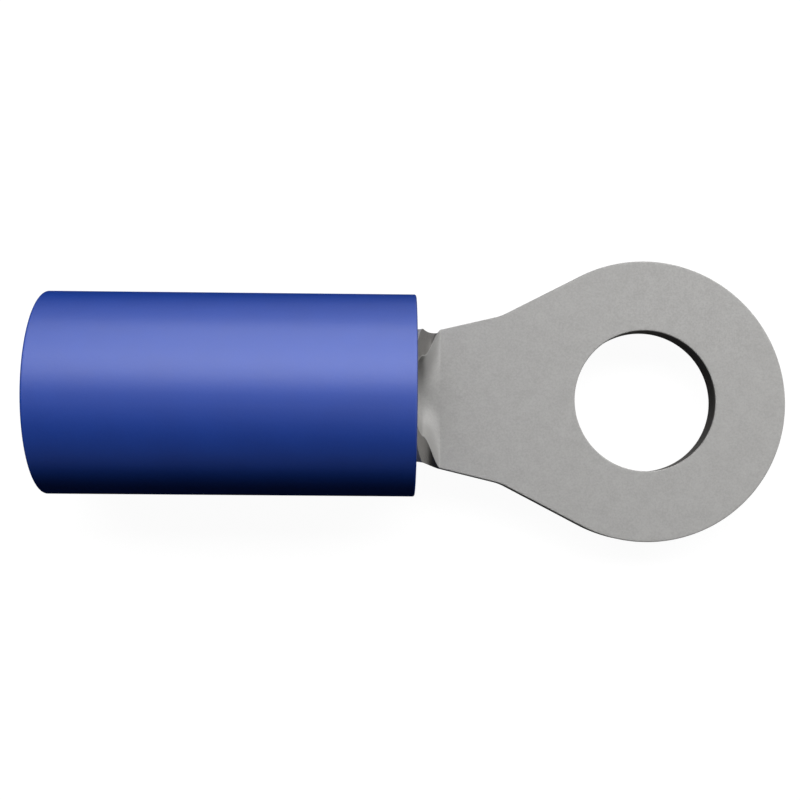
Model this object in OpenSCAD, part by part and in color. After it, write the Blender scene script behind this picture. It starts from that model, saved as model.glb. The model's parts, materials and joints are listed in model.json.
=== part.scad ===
// Insulated crimp ring terminal for 1.5 to 2.5 square millimetre wire and an M4 stud.
//
// It has two pieces. The terminal is one piece of tin-plated sheet copper: a stamped ring on
// a tongue, whose other end is rolled up into a barrel that takes the stripped wire. The
// sleeve is a moulded tube of blue plastic, pushed over the barrel from behind.
//
// Millimetres. The origin is on the underside of the ring at the centre of the stud hole.
// +X points from the sleeve to the ring, and +Z to the side on which the barrel closes.

/* [Sheet] */
// Thickness of the sheet that the terminal is stamped and rolled from
sheet_t = 0.8; // [0.6:0.05:1]

/* [Ring] */
// Diameter of the stud hole, which clears the stud
stud_hole_d = 4.3; // [3.2:0.1:5.3]
// Outer diameter of the ring
ring_d = 8.6; // [7.2:0.1:10]

/* [Tongue] */
// Distance from the centre of the stud hole to the front face of the sleeve
tongue_reach = 7.05; // [6.5:0.05:10]
// Width of the tongue where it starts to roll up
root_w = 4.24; // [4:0.04:4.8]
// Distance from the start of the roll to the knee, where the flanks turn outward
knee_reach = 1.85; // [1.2:0.01:2.2]
// Width of the tongue at the knee
knee_w = 5.12; // [4.6:0.02:5.8]
// Radius of the blend at the knee
knee_r = 1.5; // [1:0.25:4]

/* [Barrel] */
// Inner diameter of the barrel, which takes the stripped wire
wire_bore_d = 2.3; // [1.7:0.1:2.8]
// Length of the closed barrel, behind the roll
barrel_l = 5.2; // [4.4:0.1:6.4]
// Length over which the flat tongue rolls up into the closed barrel
roll_l = 1.25; // [1:0.05:1.6]
// Distance behind the front face of the sleeve at which the barrel has closed
closed_in = 0.45; // [0.2:0.05:0.5]

/* [Grip] */
// Number of serrations, the grooves across the bore that grip the crimped wire
serration_n = 3; // [1:1:4]
// Distance from one serration to the next
serration_pitch = 1.2; // [0.8:0.05:1.4]
// Width of a serration
serration_w = 0.35; // [0.2:0.05:0.5]
// Depth of a serration
serration_depth = 0.12; // [0.06:0.02:0.2]
// Depth of the groove that the closed seam leaves along the top of the barrel
seam_depth = 0.12; // [0.06:0.02:0.2]

/* [Sleeve] */
// Length of the sleeve
sleeve_l = 10.75; // [9.5:0.05:13]
// Thickness of the sleeve's wall around the barrel
sleeve_wall = 1.015; // [0.9:0.005:1.5]
// Gap between the barrel and the sleeve's bore, all round
sleeve_gap = 0.01; // [0.005:0.005:0.05]
// Diameter of the rear bore, which takes the wire's insulation
insulation_bore_d = 4.4; // [3.4:0.1:4.8]
// Length of the collar that the barrel's rear end seats on
collar_l = 0.3; // [0.2:0.05:0.6]
// Length of the funnel that leads the wire from the rear bore into the barrel
funnel_l = 1.2; // [0.6:0.1:2]
// Depth and length of the chamfer at the mouth of the rear bore
mouth_chamfer = 0.3; // [0.1:0.05:0.35]
// Radius of the sleeve's outer rims
rim_r = 0.06; // [0.04:0.02:0.2]

/* [Hidden] */

TIN = [0.66, 0.65, 0.64];
BLUE = [0.10, 0.27, 0.66];

ROUND_FN = 96;      // facets drawn on a true circle
BLEND_STEPS = 6;    // steps along a small rounding
ROLL_STEPS = 18;    // stations along the roll
SHEET_STEPS = 36;   // steps across the rolled sheet

// The bend angle of the roll grows as this power of a sine, so that it starts gently, and it
// stops at the angle below
ROLL_POWER = 1.6;
CLOSED_ANGLE = 178;

// The roll ends a little inside the barrel's wall, so that the two are one piece
WELD_L = 0.3;
WELD_INSET = 0.02;

// A bit more than a cut needs to pass through
CUT = 1;

ring_r = ring_d / 2;
bore_r = wire_bore_d / 2;
barrel_r = bore_r + sheet_t;
flank_slope = (knee_w - root_w) / 2 / knee_reach;

// Places along X
sleeve_front_x = -tongue_reach;
sleeve_rear_x = sleeve_front_x - sleeve_l;
closed_x = sleeve_front_x - closed_in;
root_x = closed_x + roll_l;
knee_x = root_x + knee_reach;
barrel_rear_x = closed_x - barrel_l;

// ---- Outlines ----

function polar(r, a) = [r * cos(a), r * sin(a)];

// The point where the line from p that passes over a circle about the origin touches it
function touch_point(p, r) = polar(r, atan2(p.y, p.x) - acos(r / norm(p)));

// An arc of radius r that blends the corner b of the path a, b, c
function corner_arc(a, b, c, r) =
    let (
        a1 = atan2(b.y - a.y, b.x - a.x),
        turn = atan2(c.y - b.y, c.x - b.x) - a1,
        side = turn < 0 ? -1 : 1,
        start = b - polar(r * abs(tan(turn / 2)), a1),
        centre = start + side * polar(r, a1 + 90)
    )
    [for (i = [0 : BLEND_STEPS]) centre + side * polar(r, a1 - 90 + turn * i / BLEND_STEPS)];

// Half of the tongue's outline, from its root to the ring
function flank() =
    let (
        root = [root_x, root_w / 2],
        knee = [knee_x, knee_w / 2],
        touch = touch_point(knee, ring_r)
    )
    concat([root], corner_arc(root, knee, touch, knee_r), [touch]);

function mirrored(path) = [for (i = [len(path) - 1 : -1 : 0]) [path[i].x, -path[i].y]];

// ---- The roll ----
// At each station the sheet is bent to an arc about the axis of the bend. The angle from
// the middle of the sheet to its edge grows from 0 at the tongue to 180 at the barrel.

function roll_angle(w) = min(CLOSED_ANGLE, 180 * pow(sin(90 * w), ROLL_POWER));

// Half of the section's width. It leaves the tongue in line with the flank and arrives level at
// the barrel's radius, at the front face of the sleeve
function roll_half_w(w) =
    let (
        reach = roll_l - closed_in,
        share = min(1, w * roll_l / reach),
        start = root_w / 2,
        level = start + (barrel_r - start) * share * share * (3 - 2 * share)
    )
    level - flank_slope * reach * share * (1 - share) * (1 - share);

function outer_bend_r(w) = roll_half_w(w) / sin(min(90, roll_angle(w)));

// A point of the section: v runs from -1 to 1 across the sheet and depth from its outer skin
function rolled_point(w, v, depth) =
    let (r = outer_bend_r(w), angle = roll_angle(w) * v)
    [(r - depth) * sin(angle), r - (r - depth) * cos(angle)];

function sheet_point(w, v, depth) = w == 0 ? [v * root_w / 2, depth] : rolled_point(w, v, depth);

// The closed outline of one section: out across the outer skin and back across the inner one
function section(x, w, inset) =
    let (m = SHEET_STEPS)
    [for (i = [0 : 2 * m + 1])
        let (
            outer = i <= m,
            v = (outer ? i : 2 * m + 1 - i) * 2 / m - 1,
            p = sheet_point(w, v, outer ? inset : sheet_t - inset)
        )
        [x, p.x, p.y]];

// Sections from the tongue to the barrel, and one more inside the barrel's wall
function roll_sections() =
    let (n = ROLL_STEPS)
    concat(
        [for (i = [0 : n - 1]) section(root_x - roll_l * i / n, i / n, 0)],
        [for (x = [closed_x, closed_x - WELD_L]) section(x, 1, WELD_INSET)]
    );

// ---- Metal terminal ----

module tongue_and_ring() {
    linear_extrude(sheet_t) {
        circle(ring_r, $fn = ROUND_FN);
        polygon(concat(flank(), mirrored(flank())));
    }
}

module roll() {
    sections = roll_sections();
    m = len(sections[0]);
    last = len(sections) - 1;
    skin = [for (s = [0 : last - 1], i = [0 : m - 1])
        let (a = s * m + i, b = s * m + (i + 1) % m)
        [a, b, b + m, a + m]];
    front_end = [for (i = [0 : SHEET_STEPS - 1]) [i, m - 1 - i, m - 2 - i, i + 1]];
    rear_end = [for (f = front_end) [for (k = [3 : -1 : 0]) f[k] + last * m]];
    polyhedron(points = [for (s = sections) each s], faces = concat(skin, front_end, rear_end));
}

module serrations() {
    middle = (closed_x + barrel_rear_x) / 2;
    for (i = [0 : serration_n - 1])
        translate([middle + (i - (serration_n - 1) / 2) * serration_pitch, 0, barrel_r])
            rotate([0, 90, 0])
                cylinder(r = bore_r + serration_depth, h = serration_w, center = true, $fn = ROUND_FN);
}

module seam_groove() {
    side = seam_depth * sqrt(2);
    translate([barrel_rear_x - CUT, 0, 2 * barrel_r])
        rotate([45, 0, 0])
            translate([0, -side / 2, -side / 2])
                cube([barrel_l + 2 * CUT, side, side]);
}

module barrel() {
    difference() {
        translate([barrel_rear_x, 0, barrel_r])
            rotate([0, 90, 0])
                cylinder(r = barrel_r, h = barrel_l, $fn = ROUND_FN);
        translate([barrel_rear_x - CUT, 0, barrel_r])
            rotate([0, 90, 0])
                cylinder(r = bore_r, h = barrel_l + 2 * CUT, $fn = ROUND_FN);
        serrations();
        seam_groove();
    }
}

module metal_terminal() {
    color(TIN)
        difference() {
            union() {
                tongue_and_ring();
                roll();
                barrel();
            }
            translate([0, 0, -CUT])
                cylinder(d = stud_hole_d, h = sheet_t + 2 * CUT, $fn = ROUND_FN);
        }
}

// ---- Insulating sleeve ----

// The sleeve's wall as [radius, distance behind the front face], which is turned about its axis
function sleeve_wall_outline() =
    let (
        grip_r = barrel_r + sleeve_gap,
        outer_r = grip_r + sleeve_wall,
        entry_r = insulation_bore_d / 2,
        seat = sleeve_front_x - barrel_rear_x,
        throat = seat + collar_l,
        funnel_end = throat + funnel_l,
        front_rim = corner_arc([grip_r, 0], [outer_r, 0], [outer_r, sleeve_l], rim_r),
        rear_rim = corner_arc([outer_r, 0], [outer_r, sleeve_l], [entry_r, sleeve_l], rim_r)
    )
    concat(
        front_rim,
        rear_rim,
        [
            [entry_r + mouth_chamfer, sleeve_l],
            [entry_r, sleeve_l - mouth_chamfer],
            [entry_r, funnel_end],
            [bore_r, throat],
            [bore_r, seat],
            [grip_r, seat],
            [grip_r, 0]
        ]
    );

module insulating_sleeve() {
    color(BLUE)
        translate([sleeve_front_x, 0, barrel_r])
            rotate([0, -90, 0])
                rotate_extrude($fn = ROUND_FN)
                    polygon(sleeve_wall_outline());
}

metal_terminal();
insulating_sleeve();
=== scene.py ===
"""Looks of an insulated crimp ring terminal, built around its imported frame.

The terminal is a strip of tin-plated sheet, flat at the ring and rolled up into a barrel, with
a moulded blue sleeve over the barrel. The metal is worked out as one bent sheet with its own
thickness and sheared edges, and the sleeve as a turned profile. Lengths are in millimetres
until a mesh is made, which is in metres, as the frame is.
"""

import json
import logging
import math
from collections.abc import Iterable
from dataclasses import dataclass, field
from enum import Enum
from typing import Any

import bmesh
import bpy
import numpy as np
from mathutils import Matrix, Vector

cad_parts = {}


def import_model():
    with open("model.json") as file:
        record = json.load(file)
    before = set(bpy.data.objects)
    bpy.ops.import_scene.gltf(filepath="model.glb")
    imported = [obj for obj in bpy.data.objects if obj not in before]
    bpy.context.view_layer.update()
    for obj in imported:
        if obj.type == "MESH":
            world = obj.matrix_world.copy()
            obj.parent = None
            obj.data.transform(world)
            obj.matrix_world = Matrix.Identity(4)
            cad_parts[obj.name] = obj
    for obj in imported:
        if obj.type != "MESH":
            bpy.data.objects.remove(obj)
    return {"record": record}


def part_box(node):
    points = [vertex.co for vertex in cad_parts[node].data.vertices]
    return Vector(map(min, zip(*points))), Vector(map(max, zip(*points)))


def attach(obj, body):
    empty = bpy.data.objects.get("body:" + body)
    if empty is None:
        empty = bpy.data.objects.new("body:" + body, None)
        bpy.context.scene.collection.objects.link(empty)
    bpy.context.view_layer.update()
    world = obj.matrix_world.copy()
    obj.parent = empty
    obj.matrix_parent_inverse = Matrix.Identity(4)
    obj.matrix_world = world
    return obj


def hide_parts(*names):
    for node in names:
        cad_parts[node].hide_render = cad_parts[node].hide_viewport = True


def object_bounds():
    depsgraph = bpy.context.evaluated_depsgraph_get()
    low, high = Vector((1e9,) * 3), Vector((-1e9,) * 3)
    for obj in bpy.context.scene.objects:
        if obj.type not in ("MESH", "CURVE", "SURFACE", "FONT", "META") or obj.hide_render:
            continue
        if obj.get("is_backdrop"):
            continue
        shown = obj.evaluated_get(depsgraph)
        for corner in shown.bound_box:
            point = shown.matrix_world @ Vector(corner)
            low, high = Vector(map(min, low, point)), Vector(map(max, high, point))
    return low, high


log = logging.getLogger("ring_terminal")

MM = 0.001
BODY = "root"
SHARP_DEGREES = 40.0    # edges that turn by more than this are shaded sharp
FLAT_BEND = 1e-4        # a bend of less than this, in radians, counts as flat

Record = dict[str, Any]
Field = np.ndarray
Triple = tuple[float, float, float]
Colour = tuple[float, float, float, float]
Socket = bpy.types.NodeSocket


class Node(Enum):
    """Names of the frame's nodes."""

    TERMINAL = "metal_terminal"
    SLEEVE = "insulating_sleeve"


class Slot(Enum):
    """Names of the record's material slots."""

    TIN = "tinned_copper"
    PLASTIC = "blue_plastic"


class Skin(Enum):
    """The two faces of the sheet, as a share of its thickness from the outside of the bend."""

    OUTER = 0.0
    INNER = 1.0


# ---------------------------------------------------------------------------
# Frame


@dataclass(frozen=True)
class Frame:
    """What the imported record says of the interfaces, in millimetres.

    Args:
        record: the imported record.
    """

    record: Record

    def mount(self, name: str) -> Record:
        """Returns a mount as the record holds it."""
        return next(m for m in self.record["mounts"] if m["name"] == name)

    def radius(self, name: str) -> float:
        """Returns the radius of a round mount."""
        return self.mount(name)["dims"]["r_mm"]

    def length(self, name: str) -> float:
        """Returns the length of a round mount's wall."""
        return self.mount(name)["dims"]["length_mm"]

    @staticmethod
    def box(node: Node) -> tuple[Field, Field]:
        """Returns the lowest and highest corner of a node in millimetres."""
        low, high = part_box(node.value)
        return np.array(low) / MM, np.array(high) / MM


# ---------------------------------------------------------------------------
# Meshes


def spread(start: float, end: float, count: int) -> Field:
    """Returns count + 1 evenly spaced values from start to end."""
    return np.linspace(start, end, count + 1)


def smooth_step(share: Field) -> Field:
    """Returns 3 s^2 - 2 s^3 for a share clipped to 0..1, level at both ends."""
    s = np.clip(share, 0.0, 1.0)
    return s * s * (3.0 - 2.0 * s)


def guarded(count: int, guard: float) -> Field:
    """Returns shares from 0 to 1: both ends, and count + 1 evenly from guard to 1 - guard."""
    return np.concatenate([[0.0], guard + (1.0 - 2.0 * guard) * spread(0.0, 1.0, count), [1.0]])


def at_height(flat: Field, height: Field | float) -> Field:
    """Adds a height to points of the plane."""
    height = np.broadcast_to(height, flat.shape[:-1])[..., None]
    return np.concatenate([flat, height], -1)


def rounded_profile(corners: list[Triple], steps: int, guard: float) -> Field:
    """Rounds the corners of a closed outline.

    Each corner gives way to an arc that touches its two sides, at a distance of rounding times
    the tangent of half the turn. The straight sides stay, with a close pair of points beside
    each arc.

    Args:
        corners: (x, y, rounding) in order.
        steps: steps along each arc.
        guard: distance from an arc's end to its close neighbour.

    Returns:
        The closed outline, whose last point is its first.
    """
    places = np.array([c[:2] for c in corners])
    before = places - np.roll(places, 1, 0)
    after = np.roll(places, -1, 0) - places
    before /= np.linalg.norm(before, axis=1, keepdims=True)
    after /= np.linalg.norm(after, axis=1, keepdims=True)
    first = np.arctan2(before[:, 1], before[:, 0])
    turn = np.arctan2(before[:, 0] * after[:, 1] - before[:, 1] * after[:, 0],
                      (before * after).sum(1))
    rounding = np.array([c[2] for c in corners])
    start = places - (rounding * np.tan(np.abs(turn) / 2))[:, None] * before
    side = np.sign(turn)[:, None]
    centre = start + side * rounding[:, None] * np.stack([-before[:, 1], before[:, 0]], -1)
    angle = first[:, None] + turn[:, None] * spread(0.0, 1.0, steps)
    spoke = np.stack([np.sin(angle), -np.cos(angle)], -1)
    arcs = centre[:, None] + side[:, None] * rounding[:, None, None] * spoke
    guards = (arcs[:, :1] - guard * before[:, None], arcs[:, -1:] + guard * after[:, None])
    points = np.concatenate([guards[0], arcs, guards[1]], 1).reshape(-1, 2)
    return np.concatenate([points, points[:1]])


@dataclass
class PatchMesh:
    """Grids of points that meet edge to edge and are merged into one closed mesh.

    Args:
        name: the name of the object that is made.
        merge_mm: points closer than this are one point.
        points: the points of each grid.
        sheets: the values kept at the points of each grid.
        quads: the four points of each cell of each grid.
        cuts: whether each cell of each grid is on a sheared face.
        count: how many points there are so far.
    """

    name: str
    merge_mm: float = 1e-4
    points: list[Field] = field(default_factory=list)
    sheets: list[Field] = field(default_factory=list)
    quads: list[Field] = field(default_factory=list)
    cuts: list[Field] = field(default_factory=list)
    count: int = 0

    def add(self, grid: Field, sheet: Field | None = None, cut: Field | bool = False) -> None:
        """Adds one grid of quads.

        The quad of cell (i, j) joins the points (i, j), (i + 1, j), (i + 1, j + 1) and (i, j + 1).

        Args:
            grid: rows x columns x 3 points in millimetres.
            sheet: rows x columns x 3 values kept at the points, for patterns that follow the
                surface. They are the points themselves if left out.
            cut: whether the faces are sheared ones, for all or for each row or column of cells.
        """
        rows, columns = grid.shape[:2]
        index = self.count + np.arange(rows * columns).reshape(rows, columns)
        cells = [index[:-1, :-1], index[1:, :-1], index[1:, 1:], index[:-1, 1:]]
        self.quads.append(np.stack(cells, axis=-1).reshape(-1, 4))
        self.points.append(grid.reshape(-1, 3))
        self.sheets.append((grid if sheet is None else sheet).reshape(-1, 3))
        self.cuts.append(np.broadcast_to(cut, (rows - 1, columns - 1)).ravel())
        self.count += rows * columns

    def build(self) -> bpy.types.Object:
        """Makes the object, merges what the grids share and points the faces outwards.

        Returns:
            The linked object, at the origin.
        """
        points = np.concatenate(self.points)
        quads = np.concatenate(self.quads)
        mesh = bpy.data.meshes.new(self.name)
        mesh.vertices.add(len(points))
        mesh.vertices.foreach_set("co", (points * MM).astype(np.float32).ravel())
        mesh.loops.add(quads.size)
        mesh.loops.foreach_set("vertex_index", quads.astype(np.int32).ravel())
        mesh.polygons.add(len(quads))
        mesh.polygons.foreach_set("loop_start", np.arange(0, quads.size, 4, dtype=np.int32))
        mesh.update(calc_edges=True)
        kept = mesh.attributes.new("sheet", "FLOAT_VECTOR", "POINT")
        kept.data.foreach_set("vector", np.concatenate(self.sheets).astype(np.float32).ravel())
        # the cut faces also take the tin's darker edge colour, which is in part painted shade
        cut = mesh.attributes.new("cut", "FLOAT", "FACE")
        cut.data.foreach_set("value", np.concatenate(self.cuts).astype(np.float32))
        body = bmesh.new()
        body.from_mesh(mesh)
        bmesh.ops.remove_doubles(body, verts=body.verts, dist=self.merge_mm * MM)
        bmesh.ops.recalc_face_normals(body, faces=body.faces)
        open_edges = sum(not edge.is_manifold for edge in body.edges)
        if body.calc_volume(signed=True) < 0:
            bmesh.ops.reverse_faces(body, faces=body.faces)
        body.to_mesh(mesh)
        body.free()
        mesh.shade_smooth()
        mesh.set_sharp_from_angle(angle=math.radians(SHARP_DEGREES))
        made = bpy.data.objects.new(self.name, mesh)
        bpy.context.scene.collection.objects.link(made)
        log.info("%s: %d faces, %d open edges", self.name, len(mesh.polygons), open_edges)
        return made


# ---------------------------------------------------------------------------
# Materials


def set_range(node: bpy.types.Node, *ends: float) -> None:
    """Sets a Map Range node: both ends of its source, then both ends of its result."""
    for name, end in zip(("From Min", "From Max", "To Min", "To Max"), ends):
        node.inputs[name].default_value = end


@dataclass
class Shader:
    """A material's node tree with short ways to add what the finishes share.

    Args:
        name: the material's name.
    """

    name: str

    def __post_init__(self) -> None:
        """Makes the material and finds its Principled shader."""
        self.material = bpy.data.materials.new(self.name)
        self.material.use_nodes = True
        self.tree = self.material.node_tree
        self.surface = self.tree.nodes["Principled BSDF"]

    def node(self, kind: str, **settings: object) -> bpy.types.Node:
        """Adds a node and sets its properties.

        Args:
            kind: Blender's name of the node type.
            settings: properties by name.

        Returns:
            The new node.
        """
        made = self.tree.nodes.new(kind)
        for key, value in settings.items():
            setattr(made, key, value)
        return made

    def link(self, source: Socket, target: Socket) -> None:
        """Joins an output to an input."""
        self.tree.links.new(source, target)

    def set(self, **values: object) -> None:
        """Sets inputs of the Principled shader; an underscore stands for a space."""
        for key, value in values.items():
            self.surface.inputs[key.replace("_", " ")].default_value = value

    def value(self, name: str, output: str) -> Socket:
        """Returns an output of what is kept on the mesh under a name."""
        return self.node("ShaderNodeAttribute", attribute_name=name).outputs[output]

    def scaled(self, vector: Socket, scale: Triple) -> Socket:
        """Stretches a vector.

        Args:
            vector: the vector's output.
            scale: factor along each axis.

        Returns:
            The stretched vector's output.
        """
        mapping = self.node("ShaderNodeMapping")
        mapping.inputs["Scale"].default_value = scale
        self.link(vector, mapping.inputs["Vector"])
        return mapping.outputs["Vector"]

    def noise(self, vector: Socket, cells: float | Triple, octaves: float = 2.0) -> Socket:
        """Adds soft noise.

        Args:
            vector: where it is read.
            cells: cells per unit of the vector, for all its axes or for each.
            octaves: how many finer layers it has.

        Returns:
            The noise's value, about 0.5.
        """
        noise = self.node("ShaderNodeTexNoise")
        if isinstance(cells, tuple):
            vector, cells = self.scaled(vector, cells), 1.0
        noise.inputs["Scale"].default_value = cells
        noise.inputs["Detail"].default_value = octaves
        self.link(vector, noise.inputs["Vector"])
        return noise.outputs["Fac"]

    def ranged(self, value: Socket, low: float, high: float,
               source: tuple[float, float] = (0.3, 0.7)) -> Socket:
        """Maps a value to a range.

        Args:
            value: what is mapped.
            low: result at the start of the source range.
            high: result at its end.
            source: the source range.

        Returns:
            The mapped value.
        """
        mapped = self.node("ShaderNodeMapRange")
        set_range(mapped, *source, low, high)
        self.link(value, mapped.inputs["Value"])
        return mapped.outputs["Result"]

    def feed(self, target: Socket, value: Socket | Colour | float) -> None:
        """Gives an input its value.

        Args:
            target: the input.
            value: the value itself, or the output that it comes from.
        """
        if isinstance(value, Socket):
            self.link(value, target)
        else:
            target.default_value = value

    def mixed(self, share: Socket, first: Socket | Colour, second: Socket | Colour) -> Socket:
        """Mixes two colours.

        Args:
            share: 0 gives the first colour and 1 the second.
            first: a colour or where it comes from.
            second: a colour or where it comes from.

        Returns:
            The mixed colour.
        """
        mix = self.node("ShaderNodeMix", data_type="RGBA")
        self.feed(mix.inputs["A"], first)
        self.feed(mix.inputs["B"], second)
        self.link(share, mix.inputs["Factor"])
        return mix.outputs["Result"]

    def math(self, operation: str, first: Socket | float, second: Socket | float) -> Socket:
        """Adds a sum of two values, or another operation on them.

        Args:
            operation: Blender's name of the operation.
            first: a value or where it comes from.
            second: a value or where it comes from.

        Returns:
            The result.
        """
        made = self.node("ShaderNodeMath", operation=operation)
        for target, value in zip(made.inputs, (first, second)):
            self.feed(target, value)
        return made.outputs["Value"]

    def bump(self, height: Socket, depth_mm: float, under: Socket | None = None) -> Socket:
        """Adds a bump.

        Args:
            height: the height, 0 to 1.
            depth_mm: how deep a height of 1 is.
            under: the normal of the bump below this one.

        Returns:
            The bumped normal.
        """
        bump = self.node("ShaderNodeBump")
        bump.inputs["Distance"].default_value = depth_mm * MM
        self.link(height, bump.inputs["Height"])
        if under is not None:
            self.link(under, bump.inputs["Normal"])
        return bump.outputs["Normal"]


@dataclass(frozen=True)
class TinFinish:
    """Matte electroplated tin over rolled copper sheet.

    Args:
        light: colour of the clean plating.
        dull: colour where it has dulled.
        edge: colour of the sheared edges, in part their own where the plating is thin and in part
            painted shade, made darker to stand in for the shade on the edges and the stud hole's
            wall.
        roughness: lowest and highest roughness.
        speckle: cells of the roughness per millimetre.
        grain: cells of the mill grain along, across and through the sheet, per millimetre.
        grain_mm: depth of the grain, which follows the sheet round the roll.
        mottle: cells of the soft mottling per millimetre.
        mottle_mm: depth of the mottling.
        scored: cells of the lines that the punch leaves across a sheared edge.
        scored_mm: depth of the lines.
        torn: cells of the torn part of a sheared edge, per millimetre.
        torn_mm: depth of the torn part.
        torn_to_mm: mean height of the torn part above the outer skin.
        torn_soft_mm: half of the height over which it gives way to the lines.
        wander: cells of the wandering of its upper end, per millimetre.
        wander_mm: how far its upper end wanders up and down.
    """

    light: Colour = (0.456, 0.452, 0.444, 1.0)
    dull: Colour = (0.436, 0.432, 0.424, 1.0)
    # painted shade in part: darker than thin plating alone, to stand in for the shade on the
    # sheared edges and the stud hole's wall
    edge: Colour = (0.235, 0.228, 0.220, 1.0)
    roughness: tuple[float, float] = (0.72, 0.80)
    speckle: float = 18.0
    grain: Triple = (0.5, 14.0, 14.0)
    grain_mm: float = 0.0012
    mottle: float = 2.2
    mottle_mm: float = 0.004
    scored: Triple = (16.0, 16.0, 0.7)
    scored_mm: float = 0.006
    torn: float = 9.0
    torn_mm: float = 0.02
    torn_to_mm: float = 0.27
    torn_soft_mm: float = 0.02
    wander: Triple = (3.0, 3.0, 0.5)
    wander_mm: float = 0.12

    def material(self) -> bpy.types.Material:
        """Makes the material: plating with a grain and soft mottling, and sheared edges whose
        darker colour is partly painted shade.

        Returns:
            The node-based material.
        """
        shader = Shader("matte_tin")
        sheet = shader.value("sheet", "Vector")
        grain = shader.noise(sheet, self.grain, 4.0)
        mottle = shader.noise(sheet, self.mottle, 3.0)
        speckle = shader.noise(sheet, self.speckle)
        plated = shader.mixed(shader.ranged(mottle, 0.0, 1.0), self.light, self.dull)
        cut = shader.value("cut", "Fac")
        # the sheared faces get the edge colour, which is partly their thin plating and partly
        # painted shade
        shader.link(shader.mixed(cut, plated, self.edge), shader.surface.inputs["Base Color"])
        shader.link(shader.ranged(speckle, *self.roughness), shader.surface.inputs["Roughness"])
        face = shader.bump(grain, self.grain_mm, shader.bump(mottle, self.mottle_mm))
        shader.link(self.sheared(shader, sheet, cut, face), shader.surface.inputs["Normal"])
        shader.set(Metallic=1.0)
        return shader.material

    def sheared(self, shader: Shader, sheet: Socket, cut: Socket, face: Socket) -> Socket:
        """Adds what shearing leaves on the edges: a scored part, and below it a torn one.

        Args:
            shader: the material's shader.
            sheet: places on the flat sheet, whose Z is the height above the outer skin.
            cut: 1 on the sheared edges and 0 elsewhere.
            face: the normal so far.

        Returns:
            The normal with both parts.
        """
        height = shader.node("ShaderNodeSeparateXYZ")
        shader.link(sheet, height.inputs["Vector"])
        wander = shader.ranged(shader.noise(sheet, self.wander), -self.wander_mm, self.wander_mm)
        scored = shader.ranged(shader.math("ADD", height.outputs["Z"], wander), 0.0, 1.0,
                               (self.torn_to_mm - self.torn_soft_mm,
                                self.torn_to_mm + self.torn_soft_mm))
        torn = shader.math("SUBTRACT", 1.0, scored)
        lines = shader.math("MULTIPLY", shader.noise(sheet, self.scored, 3.0),
                            shader.math("MULTIPLY", cut, scored))
        grit = shader.math("MULTIPLY", shader.noise(sheet, self.torn, 4.0),
                           shader.math("MULTIPLY", cut, torn))
        return shader.bump(grit, self.torn_mm, shader.bump(lines, self.scored_mm, face))


@dataclass(frozen=True)
class SleeveFinish:
    """Moulded blue vinyl with a broad soft sheen.

    Args:
        blue: the plastic's colour.
        deep: its colour where the pigment is denser.
        cloud: cells of the change from one to the other, per millimetre.
        roughness: lowest and highest roughness.
        ior: how strongly it reflects.
        flow: cells of the flow lines along the sleeve and across it, per millimetre.
        flow_mm: depth of the flow lines.
        skin: cells of the fine skin texture per millimetre.
        skin_mm: depth of the skin texture.
    """

    blue: Colour = (0.0030, 0.046, 0.345, 1.0)
    deep: Colour = (0.0026, 0.042, 0.320, 1.0)
    cloud: float = 0.9
    roughness: tuple[float, float] = (0.33, 0.39)
    ior: float = 1.8
    flow: Triple = (0.08, 3.0, 3.0)
    flow_mm: float = 0.002
    skin: float = 14.0
    skin_mm: float = 0.0015

    def material(self) -> bpy.types.Material:
        """Makes the material: a cloudy blue with flow lines and a fine skin.

        Returns:
            The node-based material.
        """
        shader = Shader("blue_vinyl")
        place = shader.node("ShaderNodeTexCoord").outputs["Object"]
        in_mm = shader.scaled(place, (1 / MM, 1 / MM, 1 / MM))
        flow = shader.noise(in_mm, self.flow, 3.0)
        skin = shader.noise(in_mm, self.skin, 3.0)
        cloud = shader.noise(in_mm, self.cloud)
        shader.link(shader.mixed(shader.ranged(cloud, 0.0, 1.0), self.blue, self.deep),
                    shader.surface.inputs["Base Color"])
        shader.link(shader.ranged(skin, *self.roughness), shader.surface.inputs["Roughness"])
        soft = shader.bump(flow, self.flow_mm)
        shader.link(shader.bump(skin, self.skin_mm, soft), shader.surface.inputs["Normal"])
        shader.set(IOR=self.ior)
        return shader.material


@dataclass(frozen=True)
class FloorFinish:
    """Pale paper that glows a little, so that it stays even.

    Args:
        paper: its colour.
        glow: brightness of its glow.
        roughness: its roughness.
    """

    paper: Colour = (0.1, 0.1, 0.1, 1.0)
    glow: float = 0.96
    roughness: float = 0.9

    def material(self) -> bpy.types.Material:
        """Makes the material.

        Returns:
            The node-based material.
        """
        shader = Shader("pale_floor")
        shader.set(Base_Color=self.paper, Roughness=self.roughness, Specular_IOR_Level=0.0,
                   Emission_Color=(1.0, 1.0, 1.0, 1.0), Emission_Strength=self.glow)
        return shader.material


# ---------------------------------------------------------------------------
# Metal terminal


@dataclass(frozen=True)
class Steps:
    """How finely the metal's grids are divided.

    Beside each edge is a close pair of points, which keeps the shading of its rounding off the
    flat face.

    Args:
        across: steps across the strip.
        across_guard: share between the strip's edge and its close neighbour.
        tongue: steps along the tongue.
        roll: steps along the roll.
        roll_crowding: power that draws the roll's stations towards its start.
        barrel: steps along the barrel.
        flank: steps along each flank in the ring's grid.
        arc: steps round the ring.
        ray: steps from the stud hole to the rim.
        ray_guard: share between either end of a ray and its close neighbour.
        burr: steps along the rounding of the lower edges.
        cut: steps up the straight cut.
        draw: steps along the rounding of the upper edges.
    """

    across: int = 60
    across_guard: float = 0.006
    tongue: int = 40
    roll: int = 64
    roll_crowding: float = 1.3
    barrel: int = 150
    flank: int = 14
    arc: int = 176
    ray: int = 22
    ray_guard: float = 0.03
    burr: int = 4
    cut: int = 6
    draw: int = 7


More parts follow.
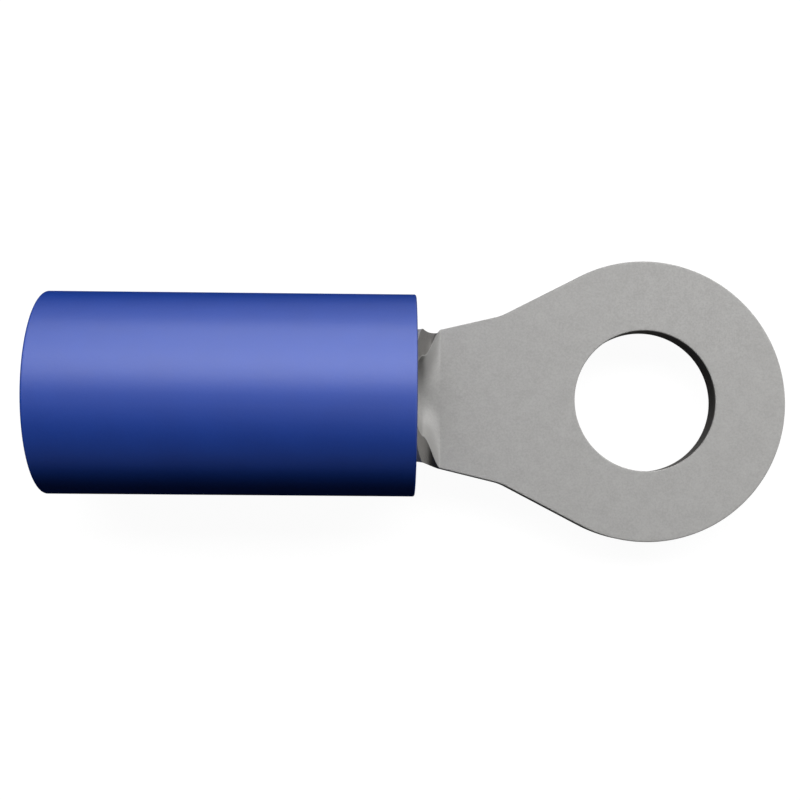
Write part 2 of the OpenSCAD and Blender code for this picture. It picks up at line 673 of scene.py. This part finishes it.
@dataclass
class MetalTerminal:
    """The ring, tongue, roll and barrel, as one bent sheet. Lengths in millimetres.

    Args:
        frame: the frame's interfaces.
        root_w: width of the tongue where the roll starts.
        knee_reach: distance from the start of the roll to the knee.
        knee_w: width at the knee.
        knee_r: radius of the blend at the knee.
        roll_l: length of the roll.
        roll_power: how gently the bend starts.
        groove_n: number of serrations in the bore.
        groove_pitch: distance between serrations.
        groove_w: width of a serration.
        groove_d: depth of a serration.
        groove_side: length over which its sides slope.
        draw_in: how far the rounding of the upper edges reaches over the face.
        draw_down: how far it reaches down the edge.
        burr_r: rounding of the lower edges.
        cut_x: where the ring's grid and the strip's grid meet.
        steps: how finely the grids are divided.
    """

    frame: Frame
    root_w: float = 4.24
    knee_reach: float = 1.85
    knee_w: float = 5.12
    knee_r: float = 1.5
    roll_l: float = 1.25
    roll_power: float = 1.6
    groove_n: int = 3
    groove_pitch: float = 1.2
    groove_w: float = 0.35
    groove_d: float = 0.12
    groove_side: float = 0.03
    draw_in: float = 0.035
    draw_down: float = 0.03
    burr_r: float = 0.015
    cut_x: float = -3.4
    steps: Steps = Steps()

    def __post_init__(self) -> None:
        """Works out the places that follow from the frame and the fields."""
        low, high = self.frame.box(Node.TERMINAL)
        self.ring_r = high[0]
        self.hole_r = self.frame.radius("stud_hole")
        self.sheet_t = self.frame.length("stud_hole")
        self.bore_r = self.frame.radius("wire_barrel")
        self.barrel_r = self.bore_r + self.sheet_t
        self.rear_x = low[0]
        self.closed_x = self.rear_x + self.frame.length("wire_barrel")
        self.cover_x = self.frame.box(Node.SLEEVE)[1][0]
        self.root_x = self.closed_x + self.roll_l
        self.knee = np.array([self.root_x + self.knee_reach, self.knee_w / 2])
        self.touch_angle = math.atan2(self.knee[1], self.knee[0]) - math.acos(
            self.ring_r / np.hypot(*self.knee))
        self.touch = self.ring_r * np.array([math.cos(self.touch_angle),
                                             math.sin(self.touch_angle)])
        self.root_slope = (self.knee[1] - self.root_w / 2) / self.knee_reach
        self.ring_slope = (self.touch[1] - self.knee[1]) / (self.touch[0] - self.knee[0])

    # -- the bent sheet

    def half_width(self, x: Field) -> Field:
        """Half of the tongue's width between the roll and the ring.

        Two straight flanks meet at the knee. Where they are within the blend's reach of it, an
        arc of radius knee_r that touches both takes their place.

        Args:
            x: places along the tongue.

        Returns:
            The half widths.
        """
        first, second = math.atan(self.root_slope), math.atan(self.ring_slope)
        reach = self.knee_r * math.tan((second - first) / 2)
        start = self.knee - reach * np.array([math.cos(first), math.sin(first)])
        end = self.knee + reach * np.array([math.cos(second), math.sin(second)])
        centre = start + self.knee_r * np.array([-math.sin(first), math.cos(first)])
        slope = np.where(x < self.knee[0], self.root_slope, self.ring_slope)
        straight = self.knee[1] + (x - self.knee[0]) * slope
        dip = np.sqrt(np.maximum(self.knee_r**2 - (x - centre[0]) ** 2, 0.0))
        return np.where((x > start[0]) & (x < end[0]), centre[1] - dip, straight)

    def bend_angle(self, x: Field) -> Field:
        """Angle from the middle of the sheet to its edge: half a turn times a sine's power."""
        share = np.clip((self.root_x - x) / self.roll_l, 0.0, 1.0)
        return math.pi * np.sin(share * math.pi / 2) ** self.roll_power

    def section_half_width(self, x: Field) -> Field:
        """Half of the section's width, measured straight across.

        From the tongue to the sleeve's front face it is a cubic that leaves with the flank's
        slope and arrives level at the barrel's radius. On the tongue it is the tongue's own.

        Args:
            x: places along the terminal.

        Returns:
            The half widths.
        """
        reach = self.root_x - self.cover_x
        share = np.clip((self.root_x - x) / reach, 0.0, 1.0)
        start = self.root_w / 2
        leave = -self.root_slope * reach * share * (1.0 - share) ** 2
        rolled = start + (self.barrel_r - start) * smooth_step(share) + leave
        return np.where(x > self.root_x, self.half_width(x), rolled)

    def bend_radius(self, x: Field) -> Field:
        """Radius of the outer skin: half width over the sine of the bend, up to 90 degrees."""
        angle = np.clip(self.bend_angle(x), FLAT_BEND, math.pi / 2)
        return self.section_half_width(x) / np.sin(angle)

    def sheet_point(self, x: Field, inset: Field, side: Field, depth: Field) -> tuple[Field, Field]:
        """Places points of the bent sheet, and of the flat one that it was bent from.

        The sheet is bent about an axis above its middle line. A point at the share v of the bend
        angle and at a depth below the outer skin is at ((r - depth) sin, r - (r - depth) cos).
        The share is 1 at the edge, less the inset over the length of the arc.

        Args:
            x: places along the terminal.
            inset: how far in from the edge, along the sheet.
            side: -1 to 1 across the sheet, between the two insets.
            depth: distance from the outer skin.

        Returns:
            The points, and their places on the flat sheet.
        """
        x, inset, side, depth = np.broadcast_arrays(x, inset, side, depth)
        angle = self.bend_angle(x)
        radius = self.bend_radius(x)
        bent = np.maximum(angle, FLAT_BEND)
        share = side * (1.0 - inset / ((radius - depth) * bent))
        flat_side = share * self.section_half_width(x)
        rolled = angle > FLAT_BEND
        across = np.where(rolled, (radius - depth) * np.sin(bent * share), flat_side)
        height = np.where(rolled, radius - (radius - depth) * np.cos(bent * share), depth)
        flat_across = np.where(rolled, share * radius * bent, flat_side)
        return np.stack([x, across, height], -1), np.stack([x, flat_across, depth], -1)

    def groove_depth(self, x: Field) -> Field:
        """Depth of the serrations in the bore: each a trough with sloping sides.

        The depth falls off as a smooth step of the distance from the nearest trough's middle.

        Args:
            x: places along the terminal.

        Returns:
            The depths.
        """
        middle = (self.closed_x + self.rear_x) / 2
        first = -(self.groove_n - 1) / 2
        centres = middle + (first + np.arange(self.groove_n)) * self.groove_pitch
        away = np.abs(x[..., None] - centres).min(-1)
        return self.groove_d * smooth_step((self.groove_w / 2 - away) / self.groove_side + 0.5)

    def edge_profile(self) -> tuple[Field, Field]:
        """Half outline of a sheared edge, from the outer skin to the inner one.

        A small quarter circle, the straight cut, and a quarter ellipse where the punch drew the
        face down.

        Returns:
            Inset from the edge, and depth as a share of the thickness.
        """
        low = spread(0.0, math.pi / 2, self.steps.burr)
        high = spread(0.0, math.pi / 2, self.steps.draw)
        straight = spread(self.burr_r, self.sheet_t - self.draw_down, self.steps.cut)[1:-1]
        inset = np.concatenate([self.burr_r * (1 - np.sin(low)), np.zeros_like(straight),
                                self.draw_in * (1 - np.cos(high))])
        depth = np.concatenate([self.burr_r * (1 - np.cos(low)), straight,
                                self.sheet_t - self.draw_down * (1 - np.sin(high))])
        return inset, depth / self.sheet_t

    def sheared(self, inset: Field) -> Field:
        """Tells the cells of the edge profile that were cut from those drawn down with the face."""
        return np.diff(inset) <= 0.0

    # -- grids

    def stations(self) -> Field:
        """Places along the strip, from the ring's grid to the rear end.

        They are even along the tongue and the barrel, and lie closer where the roll starts.

        Returns:
            The places in falling order.
        """
        tongue = spread(self.cut_x, self.root_x, self.steps.tongue)
        share = spread(0.0, 1.0, self.steps.roll)[1:] ** self.steps.roll_crowding
        roll = self.root_x - self.roll_l * share
        roll[-1] = self.closed_x
        barrel = spread(self.closed_x, self.rear_x, self.steps.barrel)[1:]
        return np.concatenate([tongue, roll, barrel])

    def thickness(self, x: Field) -> Field:
        """Thickness of the sheet, less under the serrations."""
        return self.sheet_t - self.groove_depth(x)

    def skin_inset(self, skin: Skin) -> float:
        """How far the rounding of the edges reaches over a skin."""
        return self.draw_in if skin is Skin.INNER else self.burr_r

    def add_strip(self, mesh: PatchMesh, shares: Field) -> None:
        """Adds the strip of tongue, roll and barrel.

        Its two skins are grids of stations along it and shares across it, its sheared edges are
        grids of stations and points of the edge profile, and its rear end has a row for each
        point of the profile. Where the barrel is closed, the straight parts of the two edges have
        met and only their roundings are left, on both sides of the seam.

        Args:
            mesh: what it is added to.
            shares: -1 to 1 across the strip.
        """
        x = self.stations()[:, None]
        for skin in Skin:
            mesh.add(*self.sheet_point(x, self.skin_inset(skin), shares[None, :],
                                       skin.value * self.thickness(x)))
        inset, depth = self.edge_profile()
        apart, closed = x[x[:, 0] >= self.closed_x], x[x[:, 0] <= self.closed_x]
        met = inset == 0.0
        burr, draw = slice(0, met.argmax() + 1), slice(len(met) - met[::-1].argmax() - 1, None)
        for side in (-1.0, 1.0):
            for rows, part in ((apart, slice(None)), (closed, burr), (closed, draw)):
                mesh.add(*self.sheet_point(rows, inset[None, part], side,
                                           depth[None, part] * self.thickness(rows)),
                         cut=self.sheared(inset[part]))
        rear = np.array([[self.rear_x]])
        mesh.add(*self.sheet_point(rear, inset[:, None], shares[None, :],
                                   depth[:, None] * self.thickness(rear)),
                 cut=self.sheared(inset)[:, None])

    def outline(self) -> tuple[Field, Field]:
        """Outline of the ring's grid, from one end of the cut round the tip to the other.

        A straight flank, the ring's arc, and the other flank. Beside each point is the direction
        in which its edge is inset: straight across on the flanks and to the centre on the arc.

        Returns:
            The points and the directions, each rows x 2.
        """
        flank_x = spread(self.cut_x, self.touch[0], self.steps.flank)[:-1]
        flank = np.stack([flank_x, self.half_width(flank_x)], -1)
        angle = spread(self.touch_angle, -self.touch_angle, self.steps.arc)
        arc = np.stack([np.cos(angle), np.sin(angle)], -1)
        across = np.tile([0.0, -1.0], (len(flank), 1))
        flip = np.array([1.0, -1.0])
        points = np.concatenate([flank, self.ring_r * arc, flank[::-1] * flip])
        inward = np.concatenate([across, -arc, across[::-1] * flip])
        return points, inward

    def rim(self, shares: Field, inset: float) -> Field:
        """Closed rim of the ring's grid: the outline at an inset, and then the cut.

        Args:
            shares: -1 to 1 across the cut.
            inset: how far in from the outline.

        Returns:
            The rim's points, whose last is its first.
        """
        points, inward = self.outline()
        across = shares[1:-1] * (self.half_width(np.array(self.cut_x)) - inset)
        cut = np.stack([np.full_like(across, self.cut_x), across], -1)
        return np.concatenate([points + inset * inward, cut, points[:1] + inset * inward[:1]])

    def add_ring(self, mesh: PatchMesh, shares: Field) -> None:
        """Adds the ring and the wide end of the tongue.

        The two skins are grids of straight rays from the stud hole to the rim. The outer edge and
        the wall of the hole carry the edge profile along.

        Args:
            mesh: what it is added to.
            shares: -1 to 1 across the cut, as on the strip.
        """
        rim = self.rim(shares, 0.0)
        rays = rim / np.linalg.norm(rim, axis=1, keepdims=True)
        along = guarded(self.steps.ray, self.steps.ray_guard)[:, None, None]
        for skin in Skin:
            inset = self.skin_inset(skin)
            flat = (self.hole_r + inset) * rays * (1.0 - along) + self.rim(shares, inset) * along
            mesh.add(at_height(flat, skin.value * self.sheet_t))
        inset, depth = self.edge_profile()
        points, inward = self.outline()
        height = depth * self.sheet_t
        cut = self.sheared(inset)
        mesh.add(at_height(points[:, None] + inset[:, None] * inward[:, None], height), cut=cut)
        mesh.add(at_height((self.hole_r + inset[:, None]) * rays[:, None], height), cut=cut)

    def build(self) -> bpy.types.Object:
        """Builds and dresses the terminal in place of its node.

        Returns:
            The finished object.
        """
        mesh = PatchMesh("tinned_terminal")
        shares = 2.0 * guarded(self.steps.across, self.steps.across_guard) - 1.0
        self.add_strip(mesh, shares)
        self.add_ring(mesh, shares)
        made = mesh.build()
        made.data.materials.append(TinFinish().material())
        return fitted(made, Node.TERMINAL)


# ---------------------------------------------------------------------------
# Insulating sleeve


@dataclass
class InsulatingSleeve:
    """The moulded sleeve: one closed profile turned about the barrel's axis. Millimetres.

    Args:
        frame: the frame's interfaces.
        collar_l: length of the collar behind the barrel.
        gap: gap between the barrel and the sleeve's bore, all round.
        rim_r: rounding of the outer rims.
        lip_r: rounding of the inner edge at the front.
        mouth_chamfer: chamfer at the mouth of the rear bore.
        mouth_r: rounding of the chamfer's two edges.
        funnel_r: rounding where the funnel starts.
        throat_edge_r: rounding where the funnel ends.
        seat_r: rounding of the corners that the barrel seats against.
        turn_n: steps round the sleeve.
        corner_n: steps along each rounding.
        guard: distance from a rounding to its close neighbour.
    """

    frame: Frame
    collar_l: float = 0.3
    gap: float = 0.01
    rim_r: float = 0.06
    lip_r: float = 0.03
    mouth_chamfer: float = 0.3
    mouth_r: float = 0.06
    funnel_r: float = 0.3
    throat_edge_r: float = 0.06
    seat_r: float = 0.03
    turn_n: int = 288
    corner_n: int = 8
    guard: float = 0.03

    def __post_init__(self) -> None:
        """Works out the places that follow from the frame and the fields."""
        low, high = self.frame.box(Node.SLEEVE)
        barrel_low = self.frame.box(Node.TERMINAL)[0]
        self.rear_x, self.front_x = low[0], high[0]
        self.axis_z = self.frame.mount("wire_barrel")["pos_m"][2] / MM
        self.outer_r = min(high[2] - self.axis_z, self.axis_z - low[2])
        self.throat_r = self.frame.radius("wire_barrel")
        self.grip_r = self.throat_r + self.frame.length("stud_hole") + self.gap
        self.entry_r = self.frame.radius("insulation_entry")
        self.seat_x = barrel_low[0]
        self.funnel_x = self.rear_x + self.mouth_chamfer + self.frame.length("insulation_entry")

    def corners(self) -> list[Triple]:
        """Lists the corners of the wall, round the closed profile.

        Returns:
            (place along X, distance from the axis, rounding) of each corner.
        """
        throat_x = self.seat_x - self.collar_l
        entry_x = self.rear_x + self.mouth_chamfer
        return [
            (self.front_x, self.grip_r, self.lip_r),
            (self.front_x, self.outer_r, self.rim_r),
            (self.rear_x, self.outer_r, self.rim_r),
            (self.rear_x, self.entry_r + self.mouth_chamfer, self.mouth_r),
            (entry_x, self.entry_r, self.mouth_r),
            (self.funnel_x, self.entry_r, self.funnel_r),
            (throat_x, self.throat_r, self.throat_edge_r),
            (self.seat_x, self.throat_r, self.seat_r),
            (self.seat_x, self.grip_r, self.seat_r),
        ]

    def build(self) -> bpy.types.Object:
        """Builds and dresses the sleeve in place of its node.

        Each point of the profile is carried round the axis, to its distance times the sine and
        the cosine of the turn.

        Returns:
            The finished object.
        """
        profile = rounded_profile(self.corners(), self.corner_n, self.guard)
        turn = spread(0.0, 2 * math.pi, self.turn_n)
        along, radius = profile[:, 0, None], profile[:, 1, None]
        grid = np.stack(np.broadcast_arrays(along, radius * np.sin(turn),
                                            self.axis_z + radius * np.cos(turn)), -1)
        mesh = PatchMesh("moulded_sleeve")
        mesh.add(grid)
        made = mesh.build()
        made.data.materials.append(SleeveFinish().material())
        return fitted(made, Node.SLEEVE)


# ---------------------------------------------------------------------------
# Studio


class Ray(Enum):
    """What a light acts on, as the switch that says so."""

    DIFFUSE = "visible_diffuse"
    GLOSSY = "visible_glossy"


@dataclass(frozen=True)
class SoftLight:
    """A large area light that faces the part from one side.

    Args:
        name: the light's name.
        rays: what it acts on.
        along: its place along X, in millimetres.
        height_angle: its direction from straight up, towards +Y, in degrees.
        distance: how far off it stands, in millimetres.
        size: its lengths along X and across, in millimetres.
        radiance: how bright its face is.
    """

    name: str
    rays: tuple[Ray, ...]
    along: float
    height_angle: float
    distance: float
    size: tuple[float, float]
    radiance: float

    def build(self) -> None:
        """Adds the light to the scene."""
        light = bpy.data.lights.new(self.name, "AREA")
        light.shape = "RECTANGLE"
        light.size, light.size_y = (length * MM for length in self.size)
        light.energy = self.radiance * math.pi * light.size * light.size_y
        made = bpy.data.objects.new(self.name, light)
        turn = Matrix.Rotation(math.radians(-self.height_angle), 4, "X")
        made.matrix_world = turn @ Matrix.Translation((self.along * MM, 0.0, self.distance * MM))
        made.visible_camera = False
        for ray in Ray:
            setattr(made, ray.value, ray in self.rays)
        bpy.context.scene.collection.objects.link(made)


@dataclass(frozen=True)
class Studio:
    """Pale floor, soft lights and the camera. Lengths in millimetres.

    Args:
        floor_z: height of the floor, on which the sleeve lies.
        floor_r: radius of the flat floor.
        sweep_r: radius of the sweep that turns the floor up into a wall.
        wall_h: height of the wall above the sweep.
        floor_n: steps out along the floor, up the sweep and round the floor.
        camera_place: where the camera stands.
        camera_aim: the point at the middle of its view.
        camera_roll: its turn about its own axis, in degrees.
        lens: its focal length.
        sensor: width of its sensor.
        clip: the nearest and farthest that it sees.
        bright_side: direction in which the surroundings are brightest.
        falloff: cosines from that direction at which they are dim and at which they are bright.
        world: brightness of the dim and of the bright surroundings.
        lights: the sheen's light, the wash that falls off across the sleeve, and a weak fill.
    """

    floor_z: float
    floor_r: float = 400.0
    sweep_r: float = 150.0
    wall_h: float = 250.0
    floor_n: tuple[int, int, int] = (8, 12, 96)
    camera_place: Triple = (-7.974, -2.789, 37.747)
    camera_aim: Triple = (-7.493, -0.136, 1.95)
    camera_roll: float = 0.46
    lens: float = 54.81
    sensor: float = 36.0
    clip: tuple[float, float] = (1.0, 10000.0)
    bright_side: Triple = (0.5, 0.70, 0.70)
    falloff: tuple[float, float] = (-0.14, 0.95)
    world: tuple[float, float] = (0.0, 1.2)
    lights: tuple[SoftLight, ...] = (
        SoftLight("key", (Ray.GLOSSY,), along=220.0, height_angle=43.0, distance=234.0,
                  size=(640.0, 340.0), radiance=1.37),
        SoftLight("wash", (Ray.DIFFUSE,), along=0.0, height_angle=30.0, distance=400.0,
                  size=(900.0, 170.0), radiance=5.75),
        SoftLight("fill", (Ray.DIFFUSE, Ray.GLOSSY), along=0.0, height_angle=-60.0, distance=400.0,
                  size=(900.0, 500.0), radiance=0.09),
    )

    def build(self) -> None:
        """Adds floor, lights, surroundings and camera."""
        self.add_floor()
        for light in self.lights:
            light.build()
        self.add_world()
        self.add_camera()

    def add_floor(self) -> None:
        """Adds the floor: a disc turned up at its rim by a quarter circle into a wall."""
        out_n, up_n, round_n = self.floor_n
        turn = spread(0.0, math.pi / 2, up_n)
        radius = np.concatenate([spread(0.0, self.floor_r, out_n)[:-1],
                                 self.floor_r + self.sweep_r * np.sin(turn),
                                 [self.floor_r + self.sweep_r]])
        height = np.concatenate([np.zeros(out_n), self.sweep_r * (1 - np.cos(turn)),
                                 [self.sweep_r + self.wall_h]])
        angle = spread(0.0, 2 * math.pi, round_n)
        grid = np.stack(np.broadcast_arrays(radius[:, None] * np.cos(angle),
                                            radius[:, None] * np.sin(angle),
                                            self.floor_z + height[:, None]), -1)
        mesh = PatchMesh("floor")
        mesh.add(grid)
        floor = mesh.build()
        floor.data.materials.append(FloorFinish().material())
        floor.visible_diffuse = False
        floor.visible_glossy = False
        floor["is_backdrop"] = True

    def add_world(self) -> None:
        """Adds soft surroundings, brightest on the key light's side and dim on the other."""
        world = bpy.data.worlds.new("surroundings")
        world.use_nodes = True
        tree = world.node_tree
        facing = tree.nodes.new("ShaderNodeVectorMath")
        facing.operation = "DOT_PRODUCT"
        facing.inputs[1].default_value = Vector(self.bright_side).normalized()
        level = tree.nodes.new("ShaderNodeMapRange")
        level.interpolation_type = "SMOOTHSTEP"
        set_range(level, *self.falloff, *self.world)
        place = tree.nodes.new("ShaderNodeTexCoord")
        tree.links.new(place.outputs["Generated"], facing.inputs[0])
        tree.links.new(facing.outputs["Value"], level.inputs["Value"])
        tree.links.new(level.outputs["Result"], tree.nodes["Background"].inputs["Strength"])
        tree.nodes["Background"].inputs["Color"].default_value = (1.0, 1.0, 1.0, 1.0)
        bpy.context.scene.world = world
        world.cycles_visibility.diffuse = False

    def add_camera(self) -> None:
        """Adds the camera and makes it the scene's."""
        lens = bpy.data.cameras.new("camera")
        lens.lens = self.lens
        lens.sensor_width = self.sensor
        lens.clip_start, lens.clip_end = (length * MM for length in self.clip)
        camera = bpy.data.objects.new("camera", lens)
        place, aim = Vector(self.camera_place) * MM, Vector(self.camera_aim) * MM
        back = (place - aim).normalized()
        right = Vector((0.0, 1.0, 0.0)).cross(back).normalized()
        turned = Matrix((right, back.cross(right), back)).transposed().to_4x4()
        roll = Matrix.Rotation(math.radians(self.camera_roll), 4, "Z")
        camera.matrix_world = Matrix.Translation(place) @ turned @ roll
        bpy.context.scene.collection.objects.link(camera)
        bpy.context.scene.camera = camera


# ---------------------------------------------------------------------------
# Making


def fitted(made: bpy.types.Object, node: Node) -> bpy.types.Object:
    """Joins a finished piece to the frame.

    Args:
        made: the piece.
        node: the node that it replaces.

    Returns:
        The same piece.
    """
    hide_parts(node.value)
    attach(made, BODY)
    return made


def corners_of(bounds: Iterable[Iterable[float]]) -> list[list[float]]:
    """Returns a box as plain lists of numbers."""
    return [[float(value) for value in corner] for corner in bounds]


def main() -> None:
    """Builds the terminal, its sleeve and the studio around the frame."""
    logging.basicConfig(level=logging.INFO, format="%(name)s: %(message)s")
    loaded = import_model()
    cad_box = corners_of(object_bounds())
    frame = Frame(loaded["record"])
    bpy.context.scene.view_settings.view_transform = "Standard"
    for piece in (MetalTerminal(frame), InsulatingSleeve(frame)):
        made = piece.build()
        log.info("%s is in place", made.name)
    Studio(floor_z=cad_box[0][2] / MM).build()


if __name__ == "__main__":
    main()
